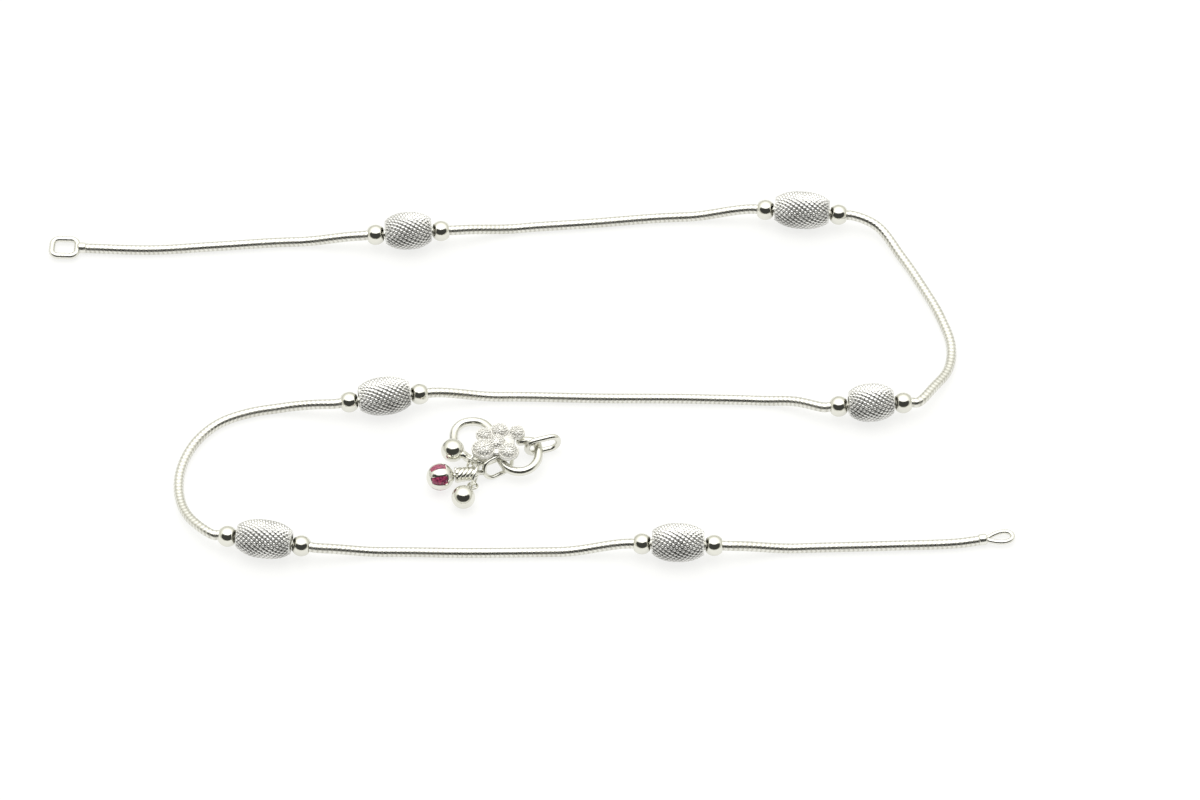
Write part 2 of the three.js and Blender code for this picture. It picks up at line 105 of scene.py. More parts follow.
# %% [markdown]
# ## Camera
# Jewellery is taken with a long lens from some distance, which keeps the far strand nearly as large
# as the near one. The camera stands in front, about 50 degrees above the table. A constraint could
# aim it, but `to_track_quat` turns its own -Z towards the aim in one line and leaves no helper
# object behind.

# %% Camera
ELEVATION = math.radians(50)
DISTANCE = 0.7
LENS, SENSOR_WIDTH = 210, 36
NEAREST, FARTHEST = 0.01, 20
aim = Vector((SHIFT.x, SHIFT.y, 0)) * MM
back = Vector((0, -math.cos(ELEVATION), math.sin(ELEVATION)))
camera_data = bpy.data.cameras.new("camera")
camera_data.lens = LENS
camera_data.sensor_width = SENSOR_WIDTH
camera_data.clip_start = NEAREST
camera_data.clip_end = FARTHEST
camera = bpy.data.objects.new("camera", camera_data)
camera.location = aim + back * DISTANCE
camera.rotation_euler = (-back).to_track_quat("-Z", "Y").to_euler()
scene.collection.objects.link(camera)
scene.camera = camera
print("camera at", [round(part, 3) for part in camera.location])

# %% [markdown]
# ## Nodes
# A material could be built in the shader editor, but a script has to name every node and link. A
# small helper adds a node with its settings and inputs in one call, so the materials below read as
# short lists.

# %% Helper: nodes
def add_node(tree, kind, inputs=None, **settings):
    """Adds a node. inputs maps a socket's name or number to a value or to a node's output."""
    new = tree.nodes.new(kind)
    for name, value in settings.items():
        setattr(new, name, value)
    for key, value in (inputs or {}).items():
        if isinstance(value, bpy.types.NodeSocket):
            tree.links.new(value, new.inputs[key])
        else:
            new.inputs[key].default_value = value
    return new


def calculate(tree, operation, *values):
    """A Math node's result."""
    return add_node(tree, "ShaderNodeMath", dict(enumerate(values)), operation=operation).outputs[0]


def ramp(tree, value, low, high, start=0.0, end=1.0):
    """Eases from start to end while value goes from low to high."""
    inputs = {"Value": value, "From Min": low, "From Max": high, "To Min": start, "To Max": end}
    made = add_node(tree, "ShaderNodeMapRange", inputs, interpolation_type="SMOOTHSTEP")
    return made.outputs["Result"]


def blend(tree, share, first, second):
    """Mixes two colours. Sockets 6 and 7 of the Mix node are its colours, output 2 the result."""
    inputs = {0: share, 6: first, 7: second}
    return add_node(tree, "ShaderNodeMix", inputs, data_type="RGBA").outputs[2]


# %% [markdown]
# ## Light tent
# Polished silver shows nothing but its surroundings. Small jewellery is therefore taken in a tent
# of white cloth, bright above and greyer near the table, with a dark open front that every ball
# mirrors as a dark slot a little below its middle.
#
# The tent could be built of glowing cards, but a card stands in the way of another view. Here the
# world's own colour gives all of it: the direction's two angles say how near a ray comes to the
# middle of the front, and an ellipse round it is dark.

# %% Light tent
FRONT_HALF_WIDTH = math.radians(90)
FRONT_RISE, FRONT_HALF_HEIGHT = math.radians(33), math.radians(31)
FRONT_EDGE = (0.86, 1.1)
CLOTH_FOOT, CLOTH_TOP = math.radians(-4), math.radians(80)
CLOTH_GREY, CLOTH_BRIGHT = (0.66, 0.655, 0.57, 1), (1.95, 1.95, 1.93, 1)
FRONT_DARK = (0.06, 0.061, 0.056, 1)

tent = bpy.data.worlds.new("light_tent")
tent.use_nodes = True
tree = tent.node_tree
tree.nodes.clear()
direction = add_node(tree, "ShaderNodeTexCoord").outputs["Generated"]
parts = add_node(tree, "ShaderNodeSeparateXYZ", {0: direction}).outputs
rise = calculate(tree, "ARCSINE", parts["Z"])
turn = calculate(tree, "ARCTAN2", parts["X"], calculate(tree, "MULTIPLY", parts["Y"], -1.0))
across = calculate(tree, "DIVIDE", turn, FRONT_HALF_WIDTH)
up = calculate(tree, "DIVIDE", calculate(tree, "SUBTRACT", rise, FRONT_RISE), FRONT_HALF_HEIGHT)
squares = [calculate(tree, "POWER", calculate(tree, "ABSOLUTE", part), 2.0)
           for part in (across, up)]
open_front = ramp(tree, calculate(tree, "ADD", *squares), *FRONT_EDGE, 1.0, 0.0)
height = ramp(tree, rise, CLOTH_FOOT, CLOTH_TOP)
cloth = blend(tree, height, CLOTH_GREY, CLOTH_BRIGHT)
seen = blend(tree, open_front, cloth, FRONT_DARK)
background = add_node(tree, "ShaderNodeBackground", {"Color": seen, "Strength": 1.0})
add_node(tree, "ShaderNodeOutputWorld", {"Surface": background.outputs[0]})
scene.world = tent
scene.view_settings.view_transform = "Standard"
print("light tent of", len(tree.nodes), "nodes")

# %% [markdown]
# A tent's light comes from everywhere and throws hardly any shadow. One large soft lamp over its
# roof adds the faint shade that each bead throws on the table. A sun lamp could do it too, but its
# shadow would have a hard edge.

# %% Roof lamp
LAMP_PLACE = Vector((-0.12, 0.2, 0.8))
LAMP_SIZE, LAMP_WATTS = 0.5, 1.0
lamp_data = bpy.data.lights.new("roof_lamp", "AREA")
lamp_data.shape = "SQUARE"
lamp_data.size = LAMP_SIZE
lamp_data.energy = LAMP_WATTS
lamp = bpy.data.objects.new("roof_lamp", lamp_data)
lamp.location = LAMP_PLACE
lamp.rotation_euler = (-LAMP_PLACE).to_track_quat("-Z", "Y").to_euler()
scene.collection.objects.link(lamp)
print("lamp", lamp_data.energy, "W")

# %% [markdown]
# ## Finishing a piece
# A piece could keep its place in its object's location and rotation. Here the place goes into the
# mesh and every object stays at the origin, unturned, so a pattern on Object coordinates runs on
# from piece to piece. The helpers also weld the seams that the tools leave, turn the faces outwards
# and say which solid the piece stands for.

# %% Helper: finished piece
WELD = 1e-4


def finish_mesh(shape, name, materials):
    """Closes a bmesh in millimetres and makes it a smooth mesh object in metres."""
    bmesh.ops.remove_doubles(shape, verts=shape.verts, dist=WELD)
    bmesh.ops.recalc_face_normals(shape, faces=shape.faces)
    bmesh.ops.translate(shape, verts=shape.verts, vec=SHIFT)
    bmesh.ops.scale(shape, verts=shape.verts, vec=(MM, MM, MM))
    mesh = bpy.data.meshes.new(name)
    shape.to_mesh(mesh)
    shape.free()
    for material in materials:
        mesh.materials.append(material)
    mesh.shade_smooth()
    made = bpy.data.objects.new(name, mesh)
    scene.collection.objects.link(made)
    return made


def finish_piece(shape, name, node, slot, *materials):
    """A finished piece that rides with the anklet and stands for one of its solids."""
    piece = finish_mesh(shape, name, materials)
    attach(piece, "root")
    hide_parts(node)
    triangles = sum(len(face.vertices) - 2 for face in piece.data.polygons)
    print(name, "stands for", node, "with", triangles, "triangles")


# %% [markdown]
# ## Table
# The table is a sheet of white paper over a light box. It is matt, so it mirrors nothing. Paper
# that is only lit could be white too, but its shadows would be strong. So most of its white is a
# glow of its own, which fills the shadows until a faint contact shade is left.

# %% Table
PAPER_DARK, PAPER_PALE = (0.22, 0.22, 0.217, 1), (0.24, 0.24, 0.238, 1)
PAPER_GLOW, PAPER_GLOW_STRENGTH = (1.0, 1.0, 0.985, 1), 0.79
FIBRE_SCALE = 900.0
TABLE_HALF_WIDTH = 420

paper = bpy.data.materials.new("paper")
paper.use_nodes = True
paper_tree = paper.node_tree
paper_place = add_node(paper_tree, "ShaderNodeTexCoord").outputs["Object"]
fibres = add_node(paper_tree, "ShaderNodeTexNoise",
                  {"Vector": paper_place, "Scale": FIBRE_SCALE, "Detail": 3.0}).outputs[0]
shader = paper_tree.nodes["Principled BSDF"]
paper_tree.links.new(blend(paper_tree, fibres, PAPER_DARK, PAPER_PALE), shader.inputs["Base Color"])
shader.inputs["Emission Color"].default_value = PAPER_GLOW
shader.inputs["Emission Strength"].default_value = PAPER_GLOW_STRENGTH
shader.inputs["Roughness"].default_value = 0.9
shader.inputs["Specular IOR Level"].default_value = 0.15

sheet = bmesh.new()
bmesh.ops.create_grid(sheet, x_segments=8, y_segments=8, size=TABLE_HALF_WIDTH)
table = finish_mesh(sheet, "table", [paper])
print("table", [round(side, 2) for side in table.dimensions[:2]], "m")

# %% [markdown]
# ## Silver
# Silver is never one colour. The tone drifts a little over the surface, at random, and polishing
# leaves hairlines. Photographed textures could show that, but they need unwrapped meshes. Noise on
# Object coordinates needs none, and has no seams.
#
# Two node groups hold these effects, so the chain, the beads, the balls and the clasp share them
# with values of their own. Pit is a mask that the knurled and ribbed pieces carry on their points,
# 1 at the bottom of a groove. Where it is set, the colour darkens: on the chain the seams between
# the ribs are darker, and on the beads the dark is painted shade in the grooves, with less of it
# on top, where the light falls in.

# %% Node group: silver tone
PATCH_LIMITS, PATCH_SHARE = (0.35, 0.75), 0.3
SMEAR_LIMITS, SMEAR_FACTORS = (0.3, 0.7), (0.8, 1.25)
PIT_ROUGHNESS = 0.15

tone_group = bpy.data.node_groups.new("silver_tone", "ShaderNodeTree")
for name, kind in [("Bright", "NodeSocketColor"), ("Tarnish And Shade", "NodeSocketColor"),
                   ("Pit", "NodeSocketFloat"), ("Patch Scale", "NodeSocketFloat"),
                   ("Polish", "NodeSocketFloat")]:
    tone_group.interface.new_socket(name=name, in_out="INPUT", socket_type=kind)
for name, kind in [("Color", "NodeSocketColor"), ("Roughness", "NodeSocketFloat")]:
    tone_group.interface.new_socket(name=name, in_out="OUTPUT", socket_type=kind)
given = add_node(tone_group, "NodeGroupInput").outputs
place = add_node(tone_group, "ShaderNodeTexCoord").outputs["Object"]
patches = add_node(tone_group, "ShaderNodeTexNoise",
                   {"Vector": place, "Scale": given["Patch Scale"], "Detail": 4.0,
                    "Roughness": 0.6}).outputs[0]
drift = ramp(tone_group, patches, *PATCH_LIMITS, 0.0, PATCH_SHARE)
# The random drift is the silver's own uneven tone. The pit adds painted shade in the knurled
# grooves and darker seams on the chain.
tarnish_and_shade_share = calculate(tone_group, "MINIMUM", calculate(tone_group, "ADD", drift, given["Pit"]), 1.0)
colour = blend(tone_group, tarnish_and_shade_share, given["Bright"], given["Tarnish And Shade"])
smear = ramp(tone_group, patches, *SMEAR_LIMITS, *SMEAR_FACTORS)
clean_rough = calculate(tone_group, "MULTIPLY", given["Polish"], smear)
pit_rough = calculate(tone_group, "MULTIPLY", given["Pit"], PIT_ROUGHNESS)
rough = calculate(tone_group, "ADD", clean_rough, pit_rough)
add_node(tone_group, "NodeGroupOutput", {"Color": colour, "Roughness": rough})
print(tone_group.name, "has", len(tone_group.nodes), "nodes")

# %% Node group: hairlines
HAIR_STRETCH, HAIR_TURN = (1.0, 7.0, 3.0), (0.3, 0.2, 0.5)
FINE_RELIEF = 0.00004

hair_group = bpy.data.node_groups.new("polishing_hairlines", "ShaderNodeTree")
for name in ("Scale", "Depth"):
    hair_group.interface.new_socket(name=name, in_out="INPUT", socket_type="NodeSocketFloat")
hair_group.interface.new_socket(name="Normal", in_out="OUTPUT", socket_type="NodeSocketVector")
given = add_node(hair_group, "NodeGroupInput").outputs
place = add_node(hair_group, "ShaderNodeTexCoord").outputs["Object"]
drawn = add_node(hair_group, "ShaderNodeMapping",
                 {"Vector": place, "Scale": HAIR_STRETCH, "Rotation": HAIR_TURN}).outputs[0]
lines = add_node(hair_group, "ShaderNodeTexNoise",
                 {"Vector": drawn, "Scale": given["Scale"], "Detail": 5.0,
                  "Roughness": 0.7}).outputs[0]
dent = add_node(hair_group, "ShaderNodeBump",
                {"Height": lines, "Strength": given["Depth"], "Distance": FINE_RELIEF}).outputs[0]
add_node(hair_group, "NodeGroupOutput", {"Normal": dent})
print(hair_group.name, "has", len(hair_group.nodes), "nodes")

# %% Helper: silver
HAIR_SCALE = 2500.0


def silver(name, bright, tarnish_and_shade, polish, patch_scale=350.0, hair_depth=0.15, pit=False):
    """A silver finish built from the two groups. polish is its roughness away from the grooves."""
    material = bpy.data.materials.new(name)
    material.use_nodes = True
    tree = material.node_tree
    tone = add_node(tree, "ShaderNodeGroup", node_tree=tone_group)
    tone.inputs["Bright"].default_value = (*bright, 1)
    tone.inputs["Tarnish And Shade"].default_value = (*tarnish_and_shade, 1)
    tone.inputs["Patch Scale"].default_value = patch_scale
    tone.inputs["Polish"].default_value = polish
    if pit:
        mask = add_node(tree, "ShaderNodeAttribute", attribute_name="pit").outputs["Fac"]
        tree.links.new(mask, tone.inputs["Pit"])
    hair = add_node(tree, "ShaderNodeGroup", node_tree=hair_group)
    hair.inputs["Scale"].default_value = HAIR_SCALE
    hair.inputs["Depth"].default_value = hair_depth
    shader = tree.nodes["Principled BSDF"]
    shader.inputs["Metallic"].default_value = 1.0
    tree.links.new(tone.outputs["Color"], shader.inputs["Base Color"])
    tree.links.new(tone.outputs["Roughness"], shader.inputs["Roughness"])
    tree.links.new(hair.outputs["Normal"], shader.inputs["Normal"])
    return material


# %% Silver finishes
BRIGHT = (0.79, 0.785, 0.72)
WARM_GREY = (0.6, 0.585, 0.53)
polished_silver = silver("polished_silver", BRIGHT, WARM_GREY, polish=0.045)
wire_silver = silver("wire_silver", BRIGHT, WARM_GREY, polish=0.09, hair_depth=0.25)
chain_silver = silver("chain_silver", (0.83, 0.825, 0.77), (0.58, 0.57, 0.51), polish=0.23,
                      pit=True)
# The second colour, near black, is the painted shade in the knurled grooves, and it also tints the
# random drift.
knurled_silver = silver("knurled_silver", (0.93, 0.925, 0.9), (0.03, 0.029, 0.025), polish=0.28,
                        pit=True)
frosted_silver = silver("frosted_silver", (0.86, 0.85, 0.815), (0.6, 0.59, 0.55), polish=0.42,
                        patch_scale=1800.0, hair_depth=0.7)
print("materials", len(bpy.data.materials))

# %% [markdown]
# ## Rolled sheets and wires
# Most of the anklet is wire. A curve object with a bevel would do for plain wire, but it can't
# carry ribs, knurling or a mask on its points. So a wire is a flat grid here that is rolled round
# its path and welded along its seam: x of the grid counts the steps along the path, y the angle.

# %% Helper: rolled sheet
def rolled_sheet(along, around, place):
    """A rolled grid of along by around faces. place(step, angle) gives a point and its pit."""
    shape = bmesh.new()
    pit = shape.verts.layers.float.new("pit")
    bmesh.ops.create_grid(shape, x_segments=along, y_segments=around, size=0.5)
    for vert in shape.verts:
        step = round((vert.co.x + 0.5) * along)
        angle = (vert.co.y + 0.5) * 2 * math.pi
        vert.co, vert[pit] = place(step, angle)
    bmesh.ops.remove_doubles(shape, verts=shape.verts, dist=WELD)
    return shape


# %% Helper: smooth path
def smooth_path(corners, steps=24):
    """A centripetal curve through the corners, as Bezier spans cut into short steps."""
    ends = [2 * corners[0] - corners[1], *corners, 2 * corners[-1] - corners[-2]]
    path = []
    for before, start, end, after in zip(ends, ends[1:], ends[2:], ends[3:]):
        pairs = ((before, start), (start, end), (end, after))
        lead, span, trail = (max((b - a).length, 1e-6) ** 0.5 for a, b in pairs)
        leave = ((start - before) / lead - (end - before) / (lead + span)
                 + (end - start) / span) * span
        reach = ((end - start) / span - (after - start) / (span + trail)
                 + (after - end) / trail) * span
        path += interpolate_bezier(start, start + leave / 3, end - reach / 3, end, steps)[:-1]
    return [*path, corners[-1]]


def stations(path, count):
    """count + 1 even points of a path, each with its side, up and ahead, and the path's length."""
    lengths = [0.0]
    for start, end in zip(path, path[1:]):
        lengths.append(lengths[-1] + (end - start).length)
    made, span, side = [], 0, None
    for step in range(count + 1):
        wanted = lengths[-1] * step / count
        while span < len(path) - 2 and lengths[span + 1] < wanted:
            span += 1
        share = (wanted - lengths[span]) / max(lengths[span + 1] - lengths[span], 1e-9)
        low, high = path[max(span - 1, 0)], path[min(span + 2, len(path) - 1)]
        ahead = (high - low).normalized()
        side = Vector((0, 0, 1)).cross(ahead) if side is None else side
        side = (side - side.dot(ahead) * ahead).normalized()
        made.append((path[span].lerp(path[span + 1], share), side, ahead.cross(side), ahead))
    return made, lengths[-1]


def wire(path, radius, steps, around=16):
    """A round wire along a path, with rounded tips."""
    places, _ = stations(path, steps)

    def place(step, angle):
        point, side, up, _ = places[step]
        return point + radius * (math.cos(angle) * side + math.sin(angle) * up), 0.0

    shape = rolled_sheet(steps, around, place)
    for point in (places[0][0], places[-1][0]):
        bmesh.ops.create_uvsphere(shape, u_segments=around, v_segments=around // 2, radius=radius,
                                  matrix=Matrix.Translation(point))
    return shape


# %% [markdown]
# ## Turned pieces and rings
# Balls, collars and bells are turned on a lathe or pressed to the same shape. A sphere from the
# menu has no bore and no lip, so each is half a section instead, spun once round the X axis. A
# ring is a rolled sheet round a circle, and moving the circle's quarters apart makes it oval or
# boxy.

# %% Helper: turned piece and ring
RING_SIDES = 14


def turned(profile, around):
    """A piece turned about X from its profile of (radius, place along X)."""
    shape = bmesh.new()
    shape.verts.layers.float.new("pit")
    corners = [shape.verts.new((along, radius, 0)) for radius, along in profile]
    edges = [shape.edges.new(pair) for pair in zip(corners, corners[1:])]
    bmesh.ops.spin(shape, geom=corners + edges, cent=(0, 0, 0), axis=(1, 0, 0), angle=2 * math.pi,
                   steps=around, use_merge=True)
    bmesh.ops.remove_doubles(shape, verts=shape.verts, dist=WELD)
    return shape


def oval_ring(length, width, wire_radius, around=64, corner=math.inf):
    """A wire ring whose outside is length by width, with corners of a given middle radius."""
    corner = min(corner, min(length, width) / 2 - wire_radius)
    shift_x, shift_y = length / 2 - wire_radius - corner, width / 2 - wire_radius - corner

    def place(step, angle):
        turn = (step + 0.5) / around * 2 * math.pi
        reach = corner + wire_radius * math.cos(angle)
        x, y = reach * math.cos(turn), reach * math.sin(turn)
        return Vector((x + math.copysign(shift_x, x), y + math.copysign(shift_y, y),
                       wire_radius * math.sin(angle))), 0.0

    return rolled_sheet(around, RING_SIDES, place)


# %% Helper: placing and joining
def placing(x, y, z, turn=0.0, pitch=0.0, tilt=0.0):
    """Tilts about X, pitches about Y, turns about Z, all in degrees, and carries to a point."""
    turns = [Matrix.Rotation(math.radians(angle), 4, axis)
             for angle, axis in ((turn, "Z"), (pitch, "Y"), (tilt, "X"))]
    return Matrix.Translation((x, y, z)) @ turns[0] @ turns[1] @ turns[2]


def moved(shape, matrix):
    """The shape, carried to its place."""
    bmesh.ops.transform(shape, matrix=matrix, verts=shape.verts)
    return shape


def joined(*shapes):
    """One bmesh that holds all the shapes, joined through a short-lived mesh."""
    whole, *others = shapes
    for other in others:
        carrier = bpy.data.meshes.new("carrier")
        other.to_mesh(carrier)
        other.free()
        whole.from_mesh(carrier)
        bpy.data.meshes.remove(carrier)
    return whole


# %% [markdown]
# ## Snake chain
# A snake chain is woven of thin cupped plates. Each is bent in a zigzag and locks into the next, so
# the chain looks like a ribbed tube and bends in every direction. Hundreds of plates could be
# copied along a curve, but each would need many faces. A bump texture is cheap, but it leaves the
# outline smooth. So the ribs are real, and belong to one rolled sheet: it has four rows of points
# to a rib, and each row waves round the tube. The route is the layout's own, and the chain rises
# from the table where it goes into a bead.

# %% Chain route
ROUTE = [  # x, y of a point, or the number of a bead
    (-52.75, 19.75), (-45.5, 19.5), (-39.0, 20.0), (-31.0, 20.6), 1,
    (-8.5, 22.4), (-1.0, 23.1), (7.0, 23.9), 2,
    (28.3, 22.1), (30.6, 18.6), (32.6, 14.6), (34.3, 10.6), (35.3, 6.6), (34.9, 3.4),
    (33.4, 0.7), 3,
    (18.6, -0.85), (10.0, -0.3), (0.0, -0.2), (-10.0, 0.0), 4,
    (-31.2, -1.5), (-34.9, -2.1), (-38.1, -3.6), (-40.4, -6.3), (-41.6, -10.0), (-41.4, -13.5),
    (-40.2, -16.3), 5,
    (-21.7, -19.9), (-13.0, -20.0), (-5.0, -19.9), 6,
    (18.0, -19.5), (28.5, -19.1), (35.0, -18.8), (37.65, -18.35),
]
CHAIN_FALL = 7.5  # the chain comes down to the table over this distance
STRAIGHT_LEAD = 0.75  # and runs straight for this far before it goes into a ball


def straight_reach(bead):
    """From a bead's middle to where the chain is free to bend."""
    return BEADS[bead][3] / 2 + BALL_SEAT + STRAIGHT_LEAD


def along_bead(bead, distance, height=0.0):
    """A point on a bead's axis."""
    x, y, heading, _ = BEADS[bead]
    return placing(x, y, height, turn=heading) @ Vector((distance, 0, 0))


def chain_height(point):
    """The height of the chain's middle, from the bead that is nearest to the point."""
    shares = []
    for bead, (x, y, _, _) in BEADS.items():
        gone = math.hypot(point.x - x, point.y - y) - straight_reach(bead)
        shares.append((1 + math.cos(math.pi * min(max(gone / CHAIN_FALL, 0), 1))) / 2)
    return CHAIN_RADIUS + (CHAIN_HEIGHT_IN_BEAD - CHAIN_RADIUS) * max(shares)


# %% Chain path
corners = []
for row in ROUTE:
    if row in BEADS:
        reach = straight_reach(row)
        lead = reach + STRAIGHT_LEAD
        corners += [along_bead(row, distance) for distance in (-lead, -reach, reach, lead)]
    else:
        corners.append(Vector((*row, 0)))
chain_path = smooth_path(corners)
for point in chain_path:
    point.z = chain_height(point)
chain_length = stations(chain_path, 10)[1]
print("chain", round(chain_length, 1), "mm")

# %% Ribbed chain
RIB_PITCH = 0.46
RIB_DEPTH = 0.022
RIB_ROWS = 4
RIB_WAVE, RIB_WAVES = 0.05, 4
CHAIN_SIDES = 24
ribs = round(chain_length / RIB_PITCH)
chain_places, _ = stations(chain_path, ribs * RIB_ROWS)


def on_chain(step, angle):
    """A point of the ribbed tube. Its pit is deepest in the seam between two ribs."""
    point, side, up, ahead = chain_places[step]
    seam = 1 - math.sin(math.pi * (step % RIB_ROWS) / RIB_ROWS)
    radius = CHAIN_RADIUS - RIB_DEPTH * seam
    shift = RIB_WAVE * math.cos(RIB_WAVES * angle)
    return point + radius * (math.cos(angle) * side + math.sin(angle) * up) + shift * ahead, seam


chain_shape = rolled_sheet(ribs * RIB_ROWS, CHAIN_SIDES, on_chain)
open_edges = [edge for edge in chain_shape.edges if edge.is_boundary]
bmesh.ops.holes_fill(chain_shape, edges=open_edges, sides=0)
print("ribs", ribs)

# %% [markdown]
# ## Chain ends
# The chain's two ends are soldered, each in a thin collar. The left end has a stout, boxy ring of
# round wire, which the S hook goes through, and the right end has a teardrop loop. A boolean could
# unite them with the chain, but it leaves thin slivers on so fine a mesh. Solder hides the joint
# anyway, so the wires just start inside the collars.

# %% Collars
COLLAR_RADIUS, COLLAR_LENGTH = CHAIN_RADIUS + 0.06, 0.9
COLLAR_PROFILE = [  # share of the radius, and place along the collar
    (0, -0.45), (0.75, -0.45), (0.93, -0.42), (1, -0.36), (1, 0.2), (0.96, 0.27), (0.78, 0.37),
    (0.6, 0.43), (0.4, 0.45), (0, 0.45),
]


def collar():
    return turned([(share * COLLAR_RADIUS, along) for share, along in COLLAR_PROFILE], 32)


def chain_end(step, outward):
    """Where an end of the chain lies on the table, with X pointing out of it."""
    point, _, _, ahead = chain_places[step]
    heading = math.degrees(math.atan2(outward * ahead.y, outward * ahead.x))
    return placing(point.x, point.y, 0, turn=heading)


left_end, right_end = chain_end(0, -1), chain_end(-1, 1)
collars = [moved(collar(), end @ placing(0, 0, COLLAR_RADIUS)) for end in (left_end, right_end)]
print("collars", len(collars))

# %% Boxy ring and teardrop loop
LEFT_RING_LENGTH, LEFT_RING_WIDTH, LEFT_RING_WIRE, LEFT_RING_CORNER = 3.2, 2.9, 0.32, 0.7
TEARDROP_LENGTH, TEARDROP_SWELL, TEARDROP_WIRE, TEARDROP_STEPS = 2.75, 0.845, 0.25, 64
TEARDROP_ROOT = COLLAR_LENGTH / 2 - 0.25


def teardrop_path():
    """A loop with its point in the collar, wide near its far end."""
    path = []
    for step in range(TEARDROP_STEPS + 1):
        angle = 2 * math.pi * step / TEARDROP_STEPS
        x = TEARDROP_LENGTH * (1 - math.cos(angle)) / 2
        y = -TEARDROP_SWELL * math.sin(angle) * math.sin(angle / 2)
        path.append(Vector((x + TEARDROP_ROOT, y, CHAIN_RADIUS)))
    return path


ring_reach = COLLAR_LENGTH / 2 + LEFT_RING_LENGTH / 2 - LEFT_RING_WIRE
left_ring = oval_ring(LEFT_RING_LENGTH, LEFT_RING_WIDTH, LEFT_RING_WIRE, corner=LEFT_RING_CORNER)
right_loop = wire(teardrop_path(), TEARDROP_WIRE, TEARDROP_STEPS, RING_SIDES)
ends = [collars[0], moved(left_ring, left_end @ placing(ring_reach, 0, CHAIN_RADIUS)),
        collars[1], moved(right_loop, right_end)]
finish_piece(joined(chain_shape, *ends), "woven_chain", "snake_chain", "snake_chain", chain_silver)

# %% [markdown]
# ## Knurled barrel beads
# The barrels are pressed from thin silver and rolled between knurling wheels, which press two sets
# of spiral grooves into them. One set is deeper, so between the grooves stand slanting rows of
# small bright grains with dark gaps.
#
# Each grain could be a copied pyramid, but the grains have to follow the barrel and grow smaller
# towards its ends. A displacement texture needs a very fine mesh to be sharp. Here the rolled sheet
# has a few points to each grain, and a sine for each set of grooves says how deep a point lies. A
# row of points goes round the whole section: in through the bore, out over the lip and along the
# barrel, whose outline is an ellipse with its tips cut off. The dark of the gaps is painted shade,
# held on the points as their pit, and less of it is painted on top, where the light falls in.

# %% Barrel section
BARREL_BULGE = 1.12  # the ellipse's half length, as a share of the barrel's
BARREL_FLAT = 0.1
BORE_RADIUS = 0.9
LIP_FLARE, LIP_PROUD, LIP_DEPTH = 0.06, 0.02, 0.03


def barrel_radius(share):
    """The barrel's radius at a share of its half length."""
    return BEAD_HEIGHT * math.sqrt(1 - (max(abs(share) - BARREL_FLAT, 0) / BARREL_BULGE) ** 2)


def barrel_section(half, rows):
    """Radius and place along the bead: the outside, then back through the bore."""
    shares = [-1 + 2 * row / rows for row in range(rows + 1)]
    outside = [(barrel_radius(share), share * half) for share in shares]
    bore = [(BORE_RADIUS + LIP_FLARE, half + LIP_PROUD), (BORE_RADIUS, half - LIP_DEPTH),
            (BORE_RADIUS, 0), (BORE_RADIUS, -half + LIP_DEPTH),
            (BORE_RADIUS + LIP_FLARE, -half - LIP_PROUD)]
    return [*outside, *bore, outside[0]]


print("barrel", round(2 * barrel_radius(0), 2), "mm wide,", round(2 * barrel_radius(1), 2),
      "mm at its ends")

# %% Knurling
KNURL = [(26, -0.71, 1.0), (17, 0.46, 0.75)]  # starts, lead along the bead, share of the depth
KNURL_DEPTH = 0.16
KNURL_EDGE = 0.66  # a groove's share of its own pitch
PLAIN_EDGE = 0.07  # the knurling fades out over this share of the half length
LIT = Vector((0, 0.26, 0.97))  # the light falls into the grooves from here
LIT_FROM, LIT_SPAN, LIT_SHARE = 0.6, 0.3, 0.6


def barrel(length, rows=72, around=168):
    """A knurled barrel whose grooves carry painted shade, but less of it on top, where the light
    gets in.
    """
    half = length / 2
    section = barrel_section(half, rows)

    def place(step, angle):
        radius, along = section[step]
        grain = 1.0
        for starts, lead, depth in KNURL:
            wave = abs(math.sin(starts * angle / 2 + math.pi * along / lead))
            grain *= 1 - depth * (1 - min(wave / KNURL_EDGE, 1))
        edge = min(max((1 - abs(along) / half) / PLAIN_EDGE, 0), 1) if 0 < step < rows else 0
        gap = (1 - grain) * edge
        facing = Vector((0, math.cos(angle), math.sin(angle)))
        lit = min(max((facing.dot(LIT) - LIT_FROM) / LIT_SPAN, 0), 1)
        point = Vector((along, 0, 0)) + (radius - KNURL_DEPTH * gap) * facing
        # The pit is painted shade in the gaps, with less of it where they face the light.
        return point, gap * (1 - LIT_SHARE * lit)

    return rolled_sheet(len(section) - 1, around, place)


# %% Barrels in their places
for bead, (x, y, heading, length) in BEADS.items():
    turn = (heading + 90) % 180 - 90  # from -90 to 90, so that every lit side faces the back
    at = placing(x, y, BEAD_HEIGHT, turn=turn)
    finish_piece(moved(barrel(length), at), f"knurled_barrel_{bead}", f"bead_{bead}",
                 "knurled_bead", knurled_silver)

# %% [markdown]
# ## Polished balls
# The balls are hollow and drilled, with the edge of the drilled hole rolled in. A sphere with a
# boolean hole would do for the distance, but its rim stays sharp. Turning half a circle together
# with the bore and its small lip gives the rolled edge in one go, and the light tent does the rest.

# %% Balls
BALL_BORE = 0.62
BALL_LIP_ANGLE = 0.06
BALL_LIP_FLARE, BALL_LIP_STEP, BALL_LIP_DEPTH = 0.015, 0.01, 0.04


def drilled_ball(rows=30, around=56):
    """A ball with a bore along X and a rolled edge at each side."""
    start = math.asin(BALL_BORE / BALL_RADIUS) + BALL_LIP_ANGLE
    section = []
    for row in range(rows + 1):
        angle = start + (math.pi - 2 * start) * row / rows
        section.append((BALL_RADIUS * math.sin(angle), -BALL_RADIUS * math.cos(angle)))
    face = BALL_RADIUS * math.cos(start)
    lip = [(BALL_BORE + BALL_LIP_FLARE, face - BALL_LIP_STEP), (BALL_BORE, face - BALL_LIP_DEPTH)]
    section += [*lip, *[(radius, -along) for radius, along in reversed(lip)], section[0]]
    return turned(section, around)


